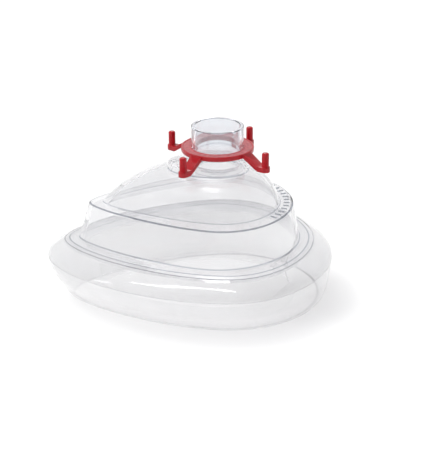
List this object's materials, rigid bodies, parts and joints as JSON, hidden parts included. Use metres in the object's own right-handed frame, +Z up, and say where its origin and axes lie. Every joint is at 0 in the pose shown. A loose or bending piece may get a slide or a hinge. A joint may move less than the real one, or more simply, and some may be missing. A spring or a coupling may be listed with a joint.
{
  "type": "resuscitation face mask",
  "caption": "Clear domed air-cushion face mask of a manual resuscitator set, with a straight breathing socket and a hook ring that turns on its neck.",
  "frame": {"origin": "middle of the overall length and width, on the surface that the cushion rests on", "axes": "+Z up along the neck, +X towards the chin end, -X towards the nose end, +Y to the wearer's side"},
  "size_m": [0.1454, 0.12, 0.09],
  "materials": {
    "clear_shell": "clear polished rigid plastic",
    "cushion_film": "clear soft vinyl film",
    "red_plastic": "moulded, satin"
  },
  "bodies": {
    "mask": {"connector_socket": "clear_shell", "mask_shell": "clear_shell", "cushion_upper": "cushion_film", "cushion_lower": "cushion_film"},
    "hook_ring": {"hook_ring": "red_plastic"}
  },
  "joints": [
    {"name": "hook_ring_turn", "type": "hinge", "parent": "mask", "child": "hook_ring", "pos_m": [0.014, 0, 0.0784], "axis": [0, 0, 1], "continuous": true}
  ]
}
